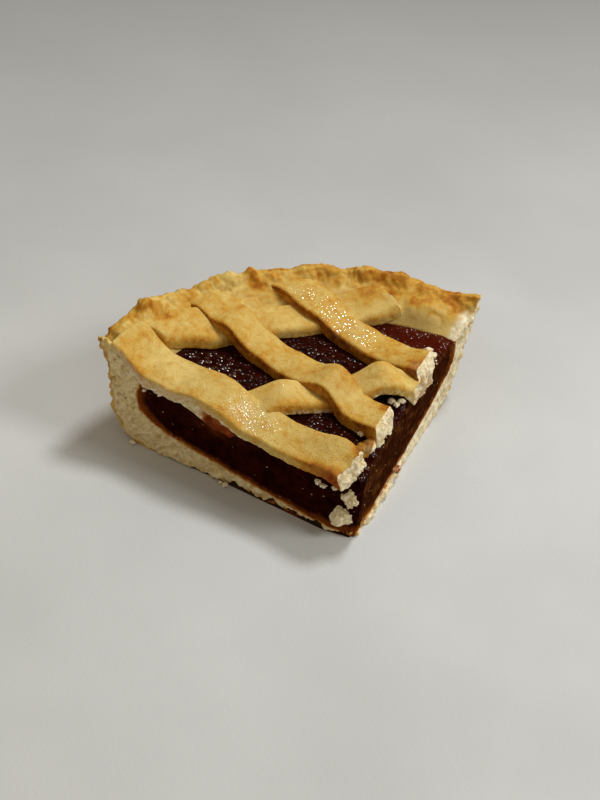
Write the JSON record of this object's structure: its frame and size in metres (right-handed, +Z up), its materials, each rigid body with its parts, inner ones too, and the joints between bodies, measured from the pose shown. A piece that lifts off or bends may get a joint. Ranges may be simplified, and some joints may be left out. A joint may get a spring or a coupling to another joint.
{
  "type": "jam crostata slice",
  "caption": "Quarter slice of a jam crostata: tall shortcrust shell with a pressed rim, dark jam filling open on both cut faces, and a woven lattice of dough strips on top.",
  "frame": {"origin": "middle of the footprint's bounding box, on the surface that the slice lies on", "axes": "+Z up; +Y from the slice's tip to the middle of its rim; +X to the right when the tip faces the viewer"},
  "size_m": [0.1696, 0.1198, 0.0521],
  "materials": {
    "crust": "matt baked shortcrust, pale crumb where cut",
    "lattice_top": "golden baked dough with patches of egg-wash shine",
    "lattice_lower": "paler baked dough",
    "jam": "glossy dark red-brown jam",
    "crumb": "dry pale crumb"
  },
  "bodies": {
    "root": {"crust": "crust", "jam": "jam", "strip_front": "lattice_top", "strip_middle": "lattice_top", "strip_rear": "lattice_top", "cross_strip_rear": "lattice_lower", "cross_strip_middle": "lattice_lower", "cross_strip_tip": "lattice_lower", "crumb_clump_upper": "crumb", "crumb_clump_lower": "crumb"}
  },
  "joints": []
}
